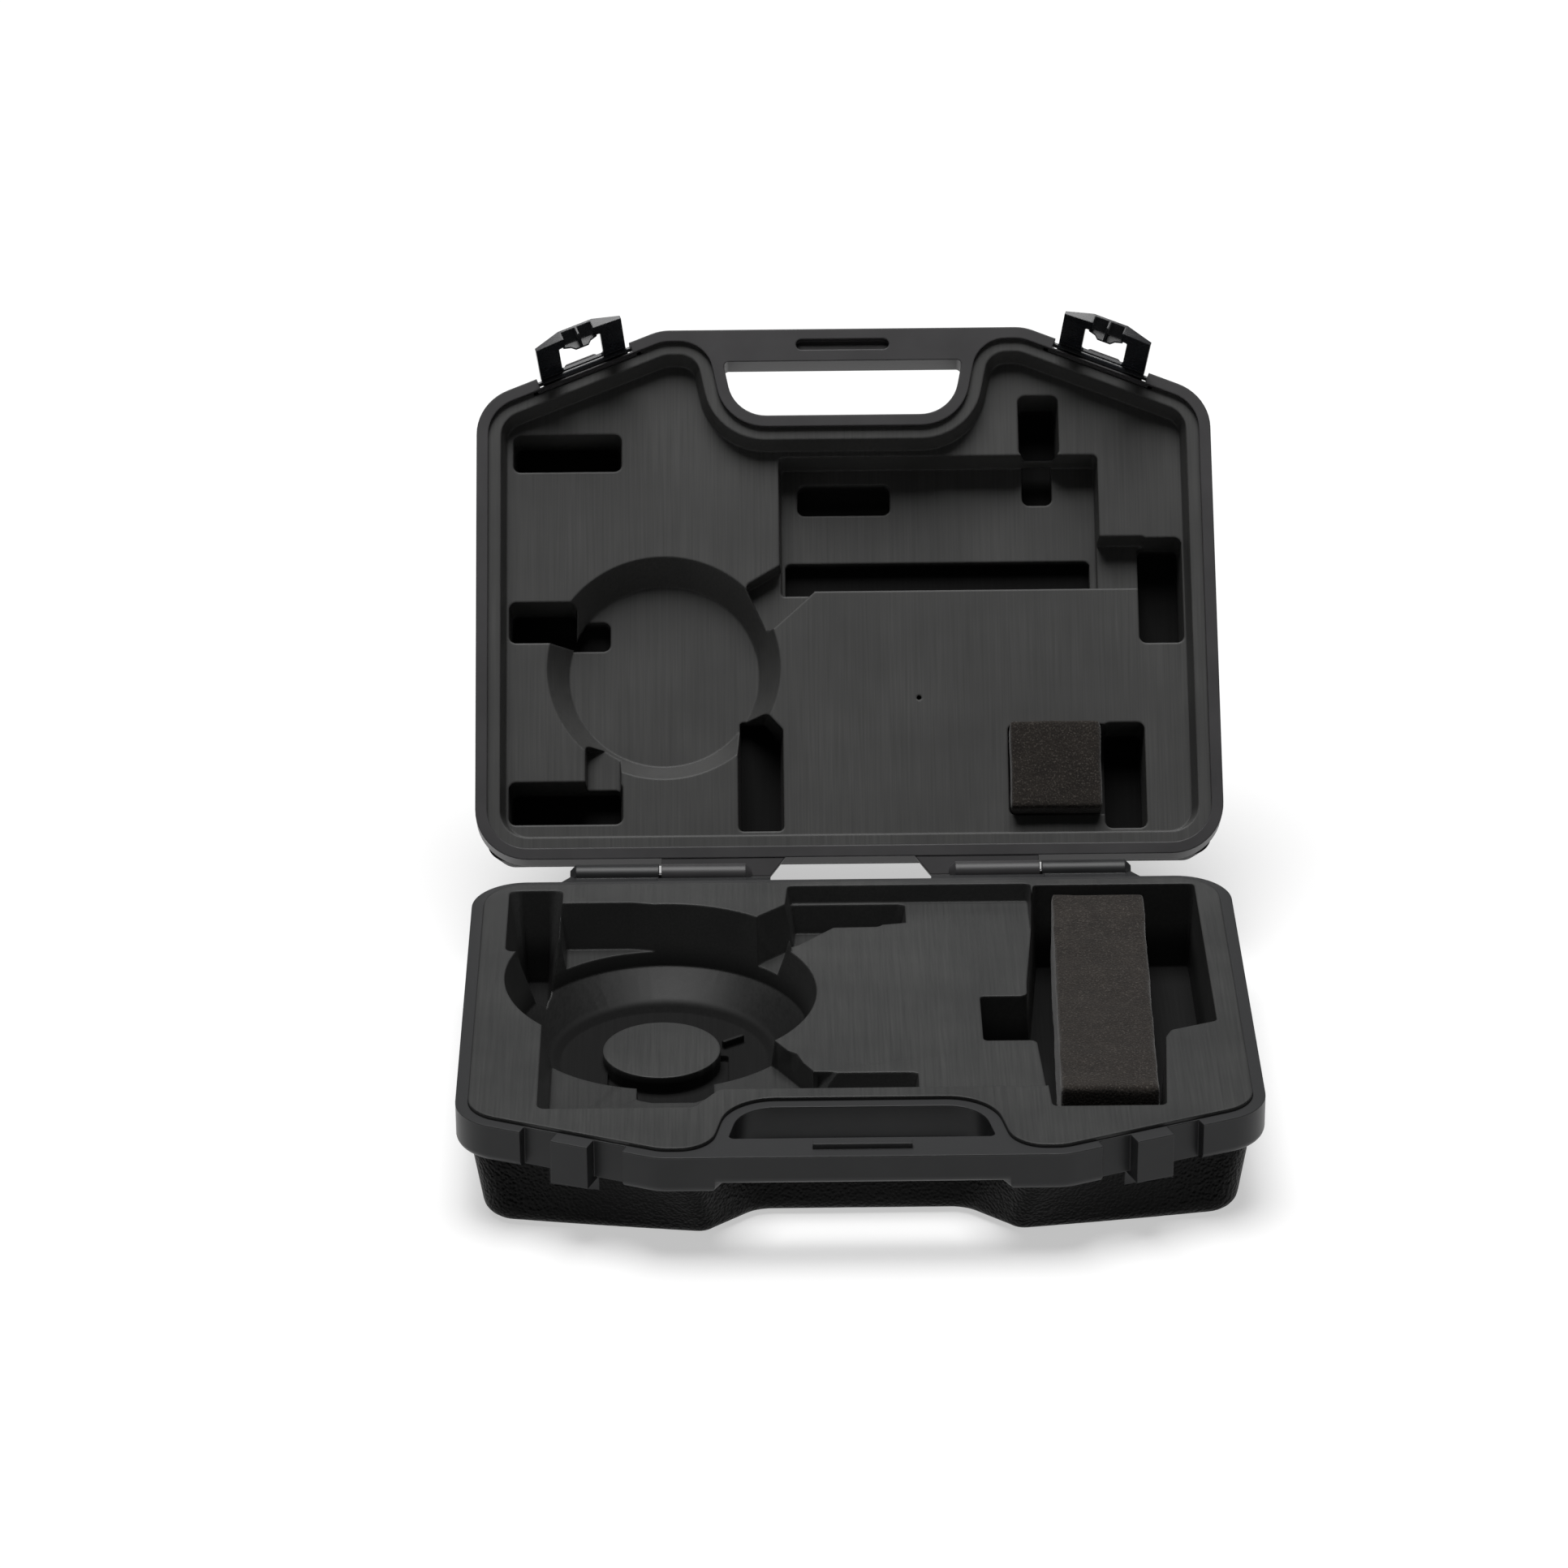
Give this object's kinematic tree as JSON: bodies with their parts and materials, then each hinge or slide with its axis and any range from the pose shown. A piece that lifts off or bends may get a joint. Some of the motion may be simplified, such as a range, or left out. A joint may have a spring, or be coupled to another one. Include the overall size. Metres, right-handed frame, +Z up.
{
  "type": "microphone case",
  "caption": "Open hinged hand case with moulded pockets and foam pads inside, a grip on its front edge and a swinging latch on each slanted front corner.",
  "frame": {"origin": "on the flat foot of the base, in the middle of its width and half way along the depth of the shut case", "axes": "+Z up, +Y from the grip towards the hinges, +X to the right seen from the grip"},
  "size_m": [0.38, 0.5215, 0.2859],
  "materials": {
    "shell_plastic": "pebbled moulded plastic",
    "tray_plastic": "satin moulded plastic",
    "latch_plastic": "semi-gloss moulded plastic",
    "pin_steel": "plain steel wire",
    "foam": "open-cell foam"
  },
  "bodies": {
    "base": {"base_shell": "shell_plastic", "base_tray": "tray_plastic", "hinge_pin_left": "pin_steel", "hinge_pin_right": "pin_steel", "foam_strip": "foam"},
    "lid": {"lid_shell": "shell_plastic", "lid_tray": "tray_plastic", "latch_pin_left": "pin_steel", "latch_pin_right": "pin_steel", "foam_block": "foam"},
    "latch_left": {"latch_left": "latch_plastic"},
    "latch_right": {"latch_right": "latch_plastic"}
  },
  "joints": [
    {"name": "lid_hinge", "type": "hinge", "parent": "base", "child": "lid", "pos_m": [0, 0.15297, 0.05198], "axis": [1, 0, 0], "range_deg": [0, 132.6]},
    {"name": "latch_left_hinge", "type": "hinge", "parent": "lid", "child": "latch_left", "pos_m": [-0.13417, 0.34482, 0.25261], "axis": [-0.9255, -0.2563, -0.2787], "range_deg": [-8, 112]},
    {"name": "latch_right_hinge", "type": "hinge", "parent": "lid", "child": "latch_right", "pos_m": [0.13417, 0.34482, 0.25261], "axis": [-0.9255, 0.2563, 0.2787], "range_deg": [-8, 112]}
  ]
}
